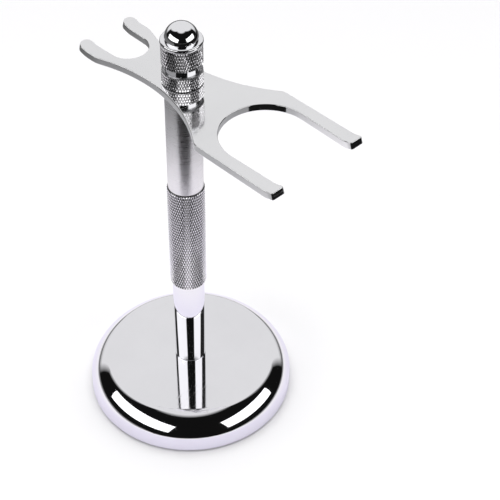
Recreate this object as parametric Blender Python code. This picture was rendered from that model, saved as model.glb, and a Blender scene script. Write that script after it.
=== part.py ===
"""Chromed double stand for a safety razor and a shaving brush.

A heavy round base carries a post in three screwed sections: a polished lower
section, a knurled grip and a satin upper section. A flat holder plate with a
small fork (razor) and a large fork (brush) sits on the post. A domed knurled
knob on a threaded stud clamps it, and the plate swivels when the knob is slack.

Units are metres, +Z is up, +X points to the brush fork, and the origin is the
centre of the foot pad's underside.
"""

from math import cos, hypot, pi, radians, sin

import bmesh
import bpy
from mathutils import Matrix, Vector

MM = 0.001

# ---------------------------------------------------------------- clearances
SEAT_GAP = 0.05 * MM        # between two faces that bear on each other
THREAD_CLEARANCE = 0.10 * MM  # between a thread's crest and its tapped bore
BORE_CLEARANCE = 0.15 * MM  # between a plain hole and the thread through it
SHELL_CLEARANCE = 0.30 * MM  # between the base cover and the weight in it
RECESS_CLEARANCE = 0.15 * MM  # between a washer's rim and the recess round it
DRILL_POINT_ROOM = 1.0 * MM  # depth of a tapped bore past the end of its stud

# ---------------------------------------------------------------------- base
BASE_RADIUS = 35.0 * MM
BASE_HEIGHT = 13.3 * MM
TOP_BLEND_RADIUS = 4.0 * MM  # the shoulder is three arcs: this one leaves the flat top
SHOULDER_RADIUS = 13.3 * MM  # the long middle one
SIDE_BLEND_RADIUS = 5.0 * MM  # the last one, down into the side
TOP_BLEND_END = radians(60)  # slope of the outward normal where the first arc ends
SIDE_BLEND_START = radians(26)  # the same where the last one starts
COVER_WALL = 1.2 * MM
COVER_RIM_HEIGHT = 0.8 * MM  # the cover's rim stands this far off the table
RIM_CHAMFER = 0.3 * MM
PAD_THICKNESS = 1.2 * MM
PAD_MARGIN = 1.6 * MM       # the pad stops this far inside the base's edge

# -------------------------------------------------- screw that holds the post
SCREW_RADIUS = 3.0 * MM
SCREW_LENGTH = 18.0 * MM
SCREW_HEAD_RADIUS = 5.0 * MM
SCREW_HEAD_HEIGHT = 3.0 * MM
SCREW_SOCKET_ACROSS = 4.0 * MM  # hexagon socket, across flats
SCREW_SOCKET_DEPTH = 1.8 * MM
FLAT_WASHER_RADIUS = 6.0 * MM
FLAT_WASHER_THICKNESS = 1.0 * MM
LOCK_WASHER_RADIUS = 5.2 * MM
LOCK_WASHER_THICKNESS = 1.4 * MM
LOCK_WASHER_SPLIT = radians(12)
COUNTERBORE_DEPTH = 6.5 * MM

# ---------------------------------------------------------------------- post
LOWER_POST_RADIUS = 5.3 * MM
LOWER_POST_LENGTH = 35.05 * MM
GRIP_RADIUS = 6.1 * MM
GRIP_LENGTH = 40.65 * MM
UPPER_POST_RADIUS = 5.7 * MM
UPPER_POST_LENGTH = 37.45 * MM
POST_CHAMFER = 0.25 * MM
GRIP_CHAMFER = 0.45 * MM
STUD_RADIUS = 2.5 * MM
STUD_CHAMFER = 0.4 * MM
STUD_ENGAGEMENT = 8.0 * MM  # length screwed into each side of a joint

# -------------------------------------------------------------- holder plate
PLATE_THICKNESS = 2.4 * MM
PLATE_EDGE = 0.30 * MM      # rounding of the plate's edges
WAIST_HALF_WIDTH = 7.2 * MM
WAIST_X = -7.5 * MM         # where the plate is narrowest
WAIST_ARC = 52.0 * MM
RAZOR_GAP = 13.0 * MM       # between the razor fork's tips
RAZOR_THROAT_RADIUS = 6.3 * MM
RAZOR_THROAT_X = -24.5 * MM
RAZOR_PRONG_WIDTH = 4.5 * MM
RAZOR_REACH = 36.4 * MM     # from the post's axis to the razor fork's tips
RAZOR_SHOULDER = 10.0 * MM
BRUSH_GAP = 27.0 * MM       # between the brush fork's tips
BRUSH_THROAT_RADIUS = 14.0 * MM
BRUSH_THROAT_X = 35.3 * MM
BRUSH_PRONG_WIDTH = 4.6 * MM
BRUSH_REACH = 56.2 * MM     # from the post's axis to the brush fork's tips
BRUSH_SHOULDER = 4.0 * MM
BRUSH_TIP_CORNER = 0.6 * MM
TIP_BEND_ANGLE = radians(16)
TIP_BEND_LENGTH = 2.2 * MM
RAZOR_TIP_LENGTH = 5.4 * MM  # of each turned-up tip, its bend included
BRUSH_TIP_LENGTH = 4.4 * MM
SWIVEL_WASHER_RADIUS = 5.2 * MM
SWIVEL_WASHER_THICKNESS = 0.5 * MM

# ---------------------------------------------------------------------- knob
KNOB_RADIUS = 6.35 * MM     # of the knurled bands
KNOB_COLLAR_RADIUS = 6.45 * MM
KNOB_GROOVE_RADIUS = 5.5 * MM
KNOB_LOWER_BAND = 4.50 * MM
KNOB_GROOVE_HEIGHT = 2.35 * MM
KNOB_UPPER_BAND = 7.0 * MM
KNOB_COLLAR_HEIGHT = 1.2 * MM
KNOB_COLLAR_CHAMFER = 0.55 * MM
KNOB_DOME_RADIUS = 5.2 * MM
KNOB_EDGE = 0.25 * MM
KNOB_WASHER_RADIUS = 4.6 * MM
KNOB_WASHER_THICKNESS = 0.8 * MM
KNOB_WASHER_PROUD = 0.10 * MM  # the washer bears on the plate, the knob doesn't

# ---------------------------------------------------------- facets and angles
BASE_FACETS = 72
POST_FACETS = 48
THREAD_FACETS = 32
ARC_STEP = radians(9)
TIP_ARC_STEPS = 12
WAIST_ARC_STEPS = 16
CORNER_STEPS = 3
TIP_BEND_STEPS = 3
PLATE_EDGE_STEPS = 2
SHARP_EDGE = radians(35)
BEVELLED_EDGE = radians(50)  # edges of the plate sharper than this are rounded
WELD = 1e-7                  # points nearer than this are one point
CUT_TOLERANCE = 1e-8

# ------------------------------------------------------------ heights, upward
WEIGHT_Z = PAD_THICKNESS + SEAT_GAP
WEIGHT_TOP_Z = BASE_HEIGHT - COVER_WALL - SEAT_GAP
COUNTERBORE_TOP_Z = WEIGHT_Z + COUNTERBORE_DEPTH
FLAT_WASHER_Z = COUNTERBORE_TOP_Z - SEAT_GAP - FLAT_WASHER_THICKNESS
LOCK_WASHER_Z = FLAT_WASHER_Z - SEAT_GAP - LOCK_WASHER_THICKNESS
SCREW_BEARING_Z = LOCK_WASHER_Z - SEAT_GAP
SCREW_TIP_Z = SCREW_BEARING_Z + SCREW_LENGTH
LOWER_POST_Z = BASE_HEIGHT + SEAT_GAP
GRIP_Z = LOWER_POST_Z + LOWER_POST_LENGTH + SEAT_GAP
UPPER_POST_Z = GRIP_Z + GRIP_LENGTH + SEAT_GAP
SWIVEL_WASHER_Z = UPPER_POST_Z + UPPER_POST_LENGTH + SEAT_GAP
PLATE_Z = SWIVEL_WASHER_Z + SWIVEL_WASHER_THICKNESS + SEAT_GAP
KNOB_WASHER_Z = PLATE_Z + PLATE_THICKNESS + SEAT_GAP
KNOB_Z = KNOB_WASHER_Z + KNOB_WASHER_PROUD
KNOB_RECESS = KNOB_WASHER_THICKNESS - KNOB_WASHER_PROUD + SEAT_GAP
TOP_STUD_Z = UPPER_POST_Z + UPPER_POST_LENGTH - STUD_ENGAGEMENT
TOP_STUD_LENGTH = KNOB_Z + KNOB_RECESS + STUD_ENGAGEMENT - TOP_STUD_Z
TAPPED_RADIUS = STUD_RADIUS + THREAD_CLEARANCE
TAPPED_DEPTH = STUD_ENGAGEMENT + DRILL_POINT_ROOM


# ------------------------------------------------------------------ materials
def material(name, colour, roughness, metallic):
    """Make a plain Principled material."""
    made = bpy.data.materials.new(name)
    made.use_nodes = True
    shader = made.node_tree.nodes["Principled BSDF"]
    shader.inputs["Base Color"].default_value = (*colour, 1.0)
    shader.inputs["Roughness"].default_value = roughness
    shader.inputs["Metallic"].default_value = metallic
    made.diffuse_color = (*colour, 1.0)
    return made


def polished_chrome(name):
    return material(name, (0.78, 0.78, 0.80), 0.04, 1.0)


def satin_chrome(name):
    return material(name, (0.70, 0.70, 0.71), 0.30, 1.0)


def zinc_plated_steel(name):
    return material(name, (0.62, 0.63, 0.64), 0.35, 1.0)


def white_nylon(name):
    return material(name, (0.85, 0.85, 0.83), 0.50, 0.0)


# ------------------------------------------------------------- shaping helpers
def arc(centre, radius, start, end, steps=None):
    """Points along an arc, both ends included. Angles are from the first axis."""
    count = steps or max(2, round(abs(end - start) / ARC_STEP))
    points = []
    for i in range(count + 1):
        angle = start + (end - start) * i / count
        points.append((centre[0] + radius * cos(angle), centre[1] + radius * sin(angle)))
    return points


def without_repeats(points):
    """Drop each point that lies on the one before it."""
    kept = []
    for point in points:
        if not kept or hypot(point[0] - kept[-1][0], point[1] - kept[-1][1]) > WELD:
            kept.append(point)
    return kept


def add_object(name, mesh_maker, finish, height):
    """Store a bmesh as a named object at a height on the post's axis."""
    bmesh.ops.recalc_face_normals(mesh_maker, faces=mesh_maker.faces)
    mesh = bpy.data.meshes.new(name)
    mesh_maker.to_mesh(mesh)
    mesh_maker.free()
    mesh.shade_smooth()
    mesh.set_sharp_from_angle(angle=SHARP_EDGE)
    mesh.materials.append(finish(name + "_finish"))
    made = bpy.data.objects.new(name, mesh)
    made.location = (0.0, 0.0, height)
    bpy.context.collection.objects.link(made)
    return made


def turned(name, outline, finish, height, facets, turn=2 * pi):
    """Spin an outline of (radius, height) points about Z.

    An outline that starts and ends on the axis is left open there; any other
    is closed on itself. A turn of less than a full circle gets flat ends.
    """
    points = without_repeats(outline)
    shape = bmesh.new()
    verts = [shape.verts.new((r, 0.0, z)) for r, z in points]
    edges = [shape.edges.new(pair) for pair in zip(verts, verts[1:])]
    if points[0][0] > 0.0 or points[-1][0] > 0.0:
        edges.append(shape.edges.new((verts[-1], verts[0])))
    full = turn >= 2 * pi
    if not full:
        shape.faces.new(verts)
    spun = bmesh.ops.spin(
        shape, geom=verts + edges, cent=(0, 0, 0), axis=(0, 0, 1),
        angle=turn, steps=facets, use_merge=full,
    )
    if not full:
        last_verts = [item for item in spun["geom_last"] if isinstance(item, bmesh.types.BMVert)]
        ordered = sorted(last_verts, key=lambda vert: nearest_index(points, vert))
        shape.faces.new(ordered)
    bmesh.ops.remove_doubles(shape, verts=shape.verts, dist=WELD)
    return add_object(name, shape, finish, height)


def nearest_index(points, vert):
    """Place of the outline point that a spun vertex came from."""
    radius = hypot(vert.co.x, vert.co.y)
    spans = [hypot(r - radius, z - vert.co.z) for r, z in points]
    return spans.index(min(spans))


def tube(inner, outer, length):
    """Outline of a plain ring from z = 0 up."""
    return [(inner, 0), (outer, 0), (outer, length), (inner, length)]


def cut(target, cutter, name):
    """Subtract one object from another and hide the cutter."""
    cutter.hide_render = True
    cutter.display_type = "WIRE"
    step = target.modifiers.new(name, "BOOLEAN")
    step.operation = "DIFFERENCE"
    step.solver = "EXACT"
    step.object = cutter


# ----------------------------------------------------------------------- base
def make_foot_pad():
    radius = BASE_RADIUS - PAD_MARGIN
    outline = [(0, 0), (radius, 0), (radius, PAD_THICKNESS), (0, PAD_THICKNESS)]
    turned("foot_pad", outline, lambda name: material(name, (0.03, 0.03, 0.03), 0.8, 0.0),
           0.0, BASE_FACETS)


def shoulder(inset):
    """Base's shoulder from its side up to its flat top: three arcs, each tangent to
    the next, running at an inset inside the cover's outer face."""
    past_side = SHOULDER_RADIUS - SIDE_BLEND_RADIUS
    past_top = SHOULDER_RADIUS - TOP_BLEND_RADIUS
    side_r = BASE_RADIUS - SIDE_BLEND_RADIUS
    middle_r = side_r - past_side * cos(SIDE_BLEND_START)
    top_r = middle_r + past_top * cos(TOP_BLEND_END)
    top_z = BASE_HEIGHT - TOP_BLEND_RADIUS
    middle_z = top_z - past_top * sin(TOP_BLEND_END)
    side_z = middle_z + past_side * sin(SIDE_BLEND_START)
    points = arc((side_r, side_z), SIDE_BLEND_RADIUS - inset, 0, SIDE_BLEND_START)
    points += arc((middle_r, middle_z), SHOULDER_RADIUS - inset, SIDE_BLEND_START, TOP_BLEND_END)
    points += arc((top_r, top_z), TOP_BLEND_RADIUS - inset, TOP_BLEND_END, pi / 2)
    return points


def make_base_cover():
    """Pressed shell: flat top, rounded shoulder, straight side, open below."""
    hole = SCREW_RADIUS + BORE_CLEARANCE
    inside = BASE_RADIUS - COVER_WALL
    outline = [(hole, BASE_HEIGHT)]
    outline += shoulder(0)[::-1]
    outline += [(BASE_RADIUS, COVER_RIM_HEIGHT + RIM_CHAMFER)]
    outline += [(BASE_RADIUS - RIM_CHAMFER, COVER_RIM_HEIGHT), (inside, COVER_RIM_HEIGHT)]
    outline += shoulder(COVER_WALL)
    outline += [(hole, BASE_HEIGHT - COVER_WALL)]
    turned("base_cover", outline, polished_chrome, 0.0, BASE_FACETS)


def make_base_weight():
    """Cast disc that fills the cover, counterbored below for the screw's head."""
    hole = SCREW_RADIUS + BORE_CLEARANCE
    bore = FLAT_WASHER_RADIUS + RECESS_CLEARANCE
    inset = COVER_WALL + SHELL_CLEARANCE
    rise = shoulder(inset)
    seat_radius = rise[-1][0] - SHELL_CLEARANCE
    outline = [(bore, WEIGHT_Z), (BASE_RADIUS - inset, WEIGHT_Z)]
    outline += rise
    outline += [(seat_radius, WEIGHT_TOP_Z), (hole, WEIGHT_TOP_Z)]
    outline += [(hole, COUNTERBORE_TOP_Z), (bore, COUNTERBORE_TOP_Z)]
    turned("base_weight", outline, lambda name: material(name, (0.10, 0.10, 0.10), 0.7, 0.6),
           0.0, BASE_FACETS)


def make_base_screw():
    """Socket-head screw, head down, up through the weight into the post."""
    chamfer = STUD_CHAMFER
    outline = [(0, -SCREW_HEAD_HEIGHT), (SCREW_HEAD_RADIUS - chamfer, -SCREW_HEAD_HEIGHT)]
    outline += [(SCREW_HEAD_RADIUS, chamfer - SCREW_HEAD_HEIGHT), (SCREW_HEAD_RADIUS, 0)]
    outline += [(SCREW_RADIUS, 0), (SCREW_RADIUS, SCREW_LENGTH - chamfer)]
    outline += [(SCREW_RADIUS - chamfer, SCREW_LENGTH), (0, SCREW_LENGTH)]
    screw = turned("base_screw", outline, zinc_plated_steel, SCREW_BEARING_Z, THREAD_FACETS)

    socket = bmesh.new()
    corner_radius = SCREW_SOCKET_ACROSS / 2 / cos(pi / 6)
    bmesh.ops.create_cone(
        socket, cap_ends=True, segments=6, radius1=corner_radius, radius2=corner_radius,
        depth=2 * SCREW_SOCKET_DEPTH,
    )
    head_face = SCREW_BEARING_Z - SCREW_HEAD_HEIGHT
    cutter = add_object("socket_cutter", socket, zinc_plated_steel, head_face)
    cut(screw, cutter, "hexagon_socket")


def make_base_washers():
    hole = SCREW_RADIUS + BORE_CLEARANCE
    turned("base_flat_washer", tube(hole, FLAT_WASHER_RADIUS, FLAT_WASHER_THICKNESS),
           zinc_plated_steel, FLAT_WASHER_Z, THREAD_FACETS)
    turned("base_lock_washer", tube(hole, LOCK_WASHER_RADIUS, LOCK_WASHER_THICKNESS),
           zinc_plated_steel, LOCK_WASHER_Z, THREAD_FACETS, turn=2 * pi - LOCK_WASHER_SPLIT)


# ----------------------------------------------------------------------- post
def post_section(name, radius, length, chamfer, lower_bore, upper_bore, finish, height):
    """Turned bar with a tapped bore in each end, each bore (radius, depth)."""
    outline = [(0, lower_bore[1]), (lower_bore[0], lower_bore[1]), (lower_bore[0], 0)]
    outline += [(radius - chamfer, 0), (radius, chamfer)]
    outline += [(radius, length - chamfer), (radius - chamfer, length)]
    outline += [(upper_bore[0], length), (upper_bore[0], length - upper_bore[1])]
    outline += [(0, length - upper_bore[1])]
    turned(name, outline, finish, height, POST_FACETS)


def make_post():
    screw_bore = (SCREW_RADIUS + THREAD_CLEARANCE, SCREW_TIP_Z + DRILL_POINT_ROOM - LOWER_POST_Z)
    stud_bore = (TAPPED_RADIUS, TAPPED_DEPTH)
    post_section("lower_post", LOWER_POST_RADIUS, LOWER_POST_LENGTH, POST_CHAMFER,
                 screw_bore, stud_bore, polished_chrome, LOWER_POST_Z)
    post_section("knurled_grip", GRIP_RADIUS, GRIP_LENGTH, GRIP_CHAMFER,
                 stud_bore, stud_bore, satin_chrome, GRIP_Z)
    post_section("upper_post", UPPER_POST_RADIUS, UPPER_POST_LENGTH, POST_CHAMFER,
                 stud_bore, stud_bore, satin_chrome, UPPER_POST_Z)


def make_stud(name, length, height):
    chamfer = STUD_CHAMFER
    outline = [(0, 0), (STUD_RADIUS - chamfer, 0), (STUD_RADIUS, chamfer)]
    outline += [(STUD_RADIUS, length - chamfer), (STUD_RADIUS - chamfer, length), (0, length)]
    turned(name, outline, zinc_plated_steel, height, THREAD_FACETS)


def make_studs():
    joining_length = 2 * STUD_ENGAGEMENT + SEAT_GAP
    make_stud("lower_stud", joining_length, GRIP_Z - SEAT_GAP - STUD_ENGAGEMENT)
    make_stud("upper_stud", joining_length, UPPER_POST_Z - SEAT_GAP - STUD_ENGAGEMENT)
    make_stud("top_stud", TOP_STUD_LENGTH, TOP_STUD_Z)


# --------------------------------------------------------------- holder plate
def waist_blend(edge_y, blend, side):
    """Convex arc from the waist's arc to a fork's straight outer edge.

    Returns the arc's points, from the waist outwards, and the angle on the
    waist's arc where it starts. Side is -1 for the razor fork, 1 for the brush.
    """
    waist_y = WAIST_HALF_WIDTH + WAIST_ARC
    centre_y = edge_y - blend
    reach = WAIST_ARC + blend
    centre_x = WAIST_X + side * (reach ** 2 - (waist_y - centre_y) ** 2) ** 0.5
    lean = Vector((centre_x - WAIST_X, centre_y - waist_y))
    start = lean.angle_signed(Vector((1, 0)))
    points = arc((centre_x, centre_y), blend, start + pi, pi / 2)
    return points, start


def half_outline():
    """Plate's edge for y >= 0, from the razor throat round to the brush throat."""
    razor_outer = RAZOR_GAP / 2 + RAZOR_PRONG_WIDTH
    brush_outer = BRUSH_GAP / 2 + BRUSH_PRONG_WIDTH
    waist_centre = (WAIST_X, WAIST_HALF_WIDTH + WAIST_ARC)
    razor_tip = (RAZOR_PRONG_WIDTH / 2 - RAZOR_REACH, RAZOR_GAP / 2 + RAZOR_PRONG_WIDTH / 2)

    razor_blend, razor_start = waist_blend(razor_outer, RAZOR_SHOULDER, -1)
    brush_blend, brush_start = waist_blend(brush_outer, BRUSH_SHOULDER, 1)

    points = arc((RAZOR_THROAT_X, 0), RAZOR_THROAT_RADIUS, 0, pi / 2)
    points += arc(razor_tip, RAZOR_PRONG_WIDTH / 2, -pi / 2, -3 * pi / 2, TIP_ARC_STEPS)
    points += razor_blend[::-1]
    points += arc(waist_centre, WAIST_ARC, razor_start, brush_start, WAIST_ARC_STEPS)
    points += brush_blend
    outer_corner = (BRUSH_REACH - BRUSH_TIP_CORNER, brush_outer - BRUSH_TIP_CORNER)
    inner_corner = (BRUSH_REACH - BRUSH_TIP_CORNER, BRUSH_GAP / 2 + BRUSH_TIP_CORNER)
    points += arc(outer_corner, BRUSH_TIP_CORNER, pi / 2, 0, CORNER_STEPS)
    points += arc(inner_corner, BRUSH_TIP_CORNER, 0, -pi / 2, CORNER_STEPS)
    points += arc((BRUSH_THROAT_X, 0), BRUSH_THROAT_RADIUS, pi / 2, pi)
    return without_repeats(points)


def turn_tips_up(shape, start_x, side):
    """Bend everything past start_x upwards along a short arc, then straight."""
    for step in range(TIP_BEND_STEPS + 1):
        line_x = start_x + side * TIP_BEND_LENGTH * step / TIP_BEND_STEPS
        geometry = shape.verts[:] + shape.edges[:] + shape.faces[:]
        bmesh.ops.bisect_plane(
            shape, geom=geometry, dist=CUT_TOLERANCE, plane_co=(line_x, 0, 0), plane_no=(1, 0, 0),
        )
    bend_radius = TIP_BEND_LENGTH / TIP_BEND_ANGLE
    for vert in shape.verts:
        along = side * (vert.co.x - start_x)
        if along <= 0:
            continue
        angle = min(along / bend_radius, TIP_BEND_ANGLE)
        straight = max(along - TIP_BEND_LENGTH, 0)
        arm = bend_radius - vert.co.z
        vert.co.x = start_x + side * (arm * sin(angle) + straight * cos(angle))
        vert.co.z = bend_radius - arm * cos(angle) + straight * sin(angle)


def make_holder_plate():
    half = half_outline()
    other_half = [(x, -y) for x, y in half[-2:0:-1]]
    shape = bmesh.new()
    face = shape.faces.new([shape.verts.new((x, y, 0)) for x, y in half + other_half])
    raised = bmesh.ops.extrude_face_region(shape, geom=[face])
    top = [item for item in raised["geom"] if isinstance(item, bmesh.types.BMVert)]
    bmesh.ops.translate(shape, verts=top, vec=(0, 0, PLATE_THICKNESS))
    turn_tips_up(shape, RAZOR_TIP_LENGTH - RAZOR_REACH, -1)
    turn_tips_up(shape, BRUSH_REACH - BRUSH_TIP_LENGTH, 1)
    plate = add_object("holder_plate", shape, polished_chrome, PLATE_Z)

    drill = bmesh.new()
    radius = STUD_RADIUS + BORE_CLEARANCE
    middle = Matrix.Translation((0, 0, PLATE_THICKNESS / 2))
    bmesh.ops.create_cone(
        drill, cap_ends=True, segments=THREAD_FACETS, radius1=radius, radius2=radius,
        depth=3 * PLATE_THICKNESS, matrix=middle,
    )
    cut(plate, add_object("plate_drill", drill, polished_chrome, PLATE_Z), "stud_hole")

    edge = plate.modifiers.new("rounded_edges", "BEVEL")
    edge.width = PLATE_EDGE
    edge.segments = PLATE_EDGE_STEPS
    edge.limit_method = "ANGLE"
    edge.angle_limit = BEVELLED_EDGE


# ----------------------------------------------------------- washers and knob
def make_clamp_washers():
    hole = STUD_RADIUS + BORE_CLEARANCE
    turned("swivel_washer", tube(hole, SWIVEL_WASHER_RADIUS, SWIVEL_WASHER_THICKNESS),
           white_nylon, SWIVEL_WASHER_Z, POST_FACETS)
    turned("knob_washer", tube(hole, KNOB_WASHER_RADIUS, KNOB_WASHER_THICKNESS),
           white_nylon, KNOB_WASHER_Z, POST_FACETS)


def band(radius, start, length, edge):
    """Outline of a cylinder band with chamfered edges."""
    end = start + length
    return [(radius - edge, start), (radius, start + edge), (radius, end - edge), (radius - edge, end)]


def make_knob():
    """Domed knob: two knurled bands with a plain groove between, then a collar."""
    recess = KNOB_WASHER_RADIUS + RECESS_CLEARANCE
    bore_top = KNOB_RECESS + STUD_ENGAGEMENT + DRILL_POINT_ROOM
    groove_start = KNOB_LOWER_BAND
    groove_end = groove_start + KNOB_GROOVE_HEIGHT
    collar_start = groove_end + KNOB_UPPER_BAND
    collar_end = collar_start + KNOB_COLLAR_HEIGHT
    outline = [(0, bore_top), (TAPPED_RADIUS, bore_top), (TAPPED_RADIUS, KNOB_RECESS)]
    outline += [(recess, KNOB_RECESS), (recess, 0)]
    outline += band(KNOB_RADIUS, 0, KNOB_LOWER_BAND, KNOB_EDGE)
    outline += [(KNOB_GROOVE_RADIUS, groove_start), (KNOB_GROOVE_RADIUS, groove_end)]
    outline += band(KNOB_RADIUS, groove_end, KNOB_UPPER_BAND, KNOB_EDGE)
    outline += band(KNOB_COLLAR_RADIUS, collar_start, KNOB_COLLAR_HEIGHT, KNOB_COLLAR_CHAMFER)
    outline += arc((0, collar_end), KNOB_DOME_RADIUS, 0, pi / 2)[:-1]
    outline += [(0, collar_end + KNOB_DOME_RADIUS)]
    turned("knob", outline, polished_chrome, KNOB_Z, POST_FACETS)


def main():
    for item in list(bpy.data.objects):
        bpy.data.objects.remove(item, do_unlink=True)
    make_foot_pad()
    make_base_cover()
    make_base_weight()
    make_base_screw()
    make_base_washers()
    make_post()
    make_studs()
    make_holder_plate()
    make_clamp_washers()
    make_knob()


main()
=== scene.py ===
from math import atan2, cos, hypot, pi, radians, sin

import bmesh
import bpy
from mathutils import Matrix, Vector


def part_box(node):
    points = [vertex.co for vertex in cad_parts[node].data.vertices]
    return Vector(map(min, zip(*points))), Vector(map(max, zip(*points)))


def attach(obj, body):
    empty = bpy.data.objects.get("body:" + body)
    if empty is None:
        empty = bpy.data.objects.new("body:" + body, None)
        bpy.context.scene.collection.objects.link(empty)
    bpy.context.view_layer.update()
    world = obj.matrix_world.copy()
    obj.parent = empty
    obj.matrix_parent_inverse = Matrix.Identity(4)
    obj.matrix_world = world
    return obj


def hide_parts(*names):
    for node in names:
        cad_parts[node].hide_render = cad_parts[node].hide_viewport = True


# Looks of the chromed stand for a razor and a shaving brush. Lengths are in metres.
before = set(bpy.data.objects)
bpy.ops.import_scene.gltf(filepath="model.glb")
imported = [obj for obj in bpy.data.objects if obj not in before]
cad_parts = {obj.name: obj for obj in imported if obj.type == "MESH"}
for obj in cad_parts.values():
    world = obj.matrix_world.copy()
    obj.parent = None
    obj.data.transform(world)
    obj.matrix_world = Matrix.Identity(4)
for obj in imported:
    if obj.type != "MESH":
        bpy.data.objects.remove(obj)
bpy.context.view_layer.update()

MM = 0.001

# ------------------------------------------------------------ where things are
BASE_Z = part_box("base_cover")[0].z
BASE_TOP_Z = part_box("base_cover")[1].z
BASE_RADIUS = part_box("base_cover")[1].x
PAD_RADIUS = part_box("foot_pad")[1].x
PAD_TOP_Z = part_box("foot_pad")[1].z
LOWER_POST_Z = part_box("lower_post")[0].z
LOWER_POST_TOP_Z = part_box("lower_post")[1].z
LOWER_POST_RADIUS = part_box("lower_post")[1].x
GRIP_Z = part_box("knurled_grip")[0].z
GRIP_TOP_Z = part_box("knurled_grip")[1].z
GRIP_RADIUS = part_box("knurled_grip")[1].x
UPPER_POST_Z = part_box("upper_post")[0].z
UPPER_POST_TOP_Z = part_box("upper_post")[1].z
UPPER_POST_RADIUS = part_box("upper_post")[1].x
PLATE_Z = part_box("holder_plate")[0].z
KNOB_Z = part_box("knob")[0].z

# ------------------------------------------------------------------- base
TOP_BLEND_RADIUS = 4.0 * MM    # first bend, from the flat top
SHOULDER_RADIUS = 13.3 * MM    # long middle part of the shoulder
SIDE_BLEND_RADIUS = 5.0 * MM   # last bend, down into the side
TOP_BLEND_END = radians(60)    # direction the surface faces, above the level,
SIDE_BLEND_START = radians(26)  # where one bend gives way to the next
COVER_WALL = 1.2 * MM
COVER_HOLE = 3.15 * MM
RIM_CHAMFER = 0.3 * MM

# ------------------------------------------------------------------- post
POST_CHAMFER = 0.25 * MM
GRIP_CHAMFER = 0.45 * MM
KNURL_WIDTH = 0.81 * MM       # of one diamond, round the piece
KNURL_HEIGHT = 2.20 * MM      # of one diamond, along the piece
KNURL_DEPTH = 0.24 * MM
KNURL_FLAT = 0.20 * MM        # from a diamond's point back to its blunted edge

# ----------------------------------------------------------- holder plate
PLATE_THICKNESS = 2.4 * MM
PLATE_EDGE = 0.30 * MM
PLATE_HOLE = 2.65 * MM
WAIST_HALF_WIDTH = 7.2 * MM
WAIST_X = -7.5 * MM
WAIST_ARC = 52.0 * MM
RAZOR_GAP = 13.0 * MM
RAZOR_THROAT_RADIUS = 6.3 * MM
RAZOR_THROAT_X = -24.5 * MM
RAZOR_PRONG_WIDTH = 4.5 * MM
RAZOR_REACH = 36.4 * MM
RAZOR_SHOULDER = 10.0 * MM
BRUSH_GAP = 27.0 * MM
BRUSH_THROAT_RADIUS = 14.0 * MM
BRUSH_THROAT_X = 35.3 * MM
BRUSH_PRONG_WIDTH = 4.6 * MM
BRUSH_REACH = 56.2 * MM
BRUSH_SHOULDER = 4.0 * MM
BRUSH_TIP_CORNER = 0.6 * MM
TIP_BEND = radians(16)
TIP_BEND_LENGTH = 2.2 * MM
TIP_BEND_STEPS = 4
RAZOR_TIP_LENGTH = 5.4 * MM
BRUSH_TIP_LENGTH = 4.4 * MM

# ------------------------------------------------------------------- knob
KNOB_RADIUS = 6.35 * MM
COLLAR_RADIUS = 6.45 * MM
GROOVE_RADIUS = 5.5 * MM
LOWER_BAND = 4.50 * MM
GROOVE_HEIGHT = 2.35 * MM
UPPER_BAND = 7.0 * MM
COLLAR_HEIGHT = 1.2 * MM
COLLAR_CHAMFER = 0.55 * MM
DOME_RADIUS = 5.2 * MM
BAND_EDGE = 0.25 * MM
RECESS_RADIUS = 4.75 * MM
RECESS_DEPTH = 0.75 * MM
BORE_RADIUS = 2.6 * MM
BORE_DEPTH = 9.75 * MM
THREAD_PITCH = 0.8 * MM
THREAD_DEPTH = 0.45 * MM
THREAD_RADIUS = 2.5 * MM

# ------------------------------------------------------------------ facets
FINE_FACETS = 192
HOLE_FACETS = 64
THREAD_FACETS = 36
TOP_BLEND_STEPS = 12
SHOULDER_STEPS = 14
SIDE_BLEND_STEPS = 8
EDGE_STEPS = 4
COLLAR_STEPS = 8
DOME_STEPS = 32
RAZOR_ARC_STEPS = 20
BRUSH_ARC_STEPS = 36
WAIST_ARC_STEPS = 40
BLEND_ARC_STEPS = 14
CORNER_STEPS = 5
POST_FACETS = 128
WASHER_FACETS = 96
SMOOTH_ANGLE = radians(30)
KNURL_SMOOTH_ANGLE = radians(20)  # keeps the diamonds' edges crisp
SHARP_PLATE_EDGE = radians(50)    # edges of the plate sharper than this are rounded
DOME_END = radians(88)            # just short of the dome's pole, which is drawn together
WELD = 1e-6


# ============================================================ making by hand
def start_new():
    """Leave edit mode and let go of everything, so that no other piece is touched."""
    if bpy.context.mode != "OBJECT":
        bpy.ops.object.mode_set(mode="OBJECT")
    bpy.ops.object.select_all(action="DESELECT")


def keep_only(test):
    """Select in edit mode the corners of the mesh that pass a test of their place."""
    bpy.context.tool_settings.mesh_select_mode = (True, False, False)
    bpy.ops.mesh.select_all(action="DESELECT")
    place = bpy.context.edit_object.matrix_world
    shape = bmesh.from_edit_mesh(bpy.context.edit_object.data)
    for corner in shape.verts:
        corner.select = test(place @ corner.co)
    shape.select_flush(True)
    bmesh.update_edit_mesh(bpy.context.edit_object.data)


def arc(centre_r, centre_z, radius, start, end, steps):
    """Rings along an arc, as (radius, height) pairs, both ends included."""
    rings = []
    for i in range(steps + 1):
        angle = start + (end - start) * i / steps
        rings.append((centre_r + radius * cos(angle), centre_z + radius * sin(angle)))
    return rings


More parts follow.
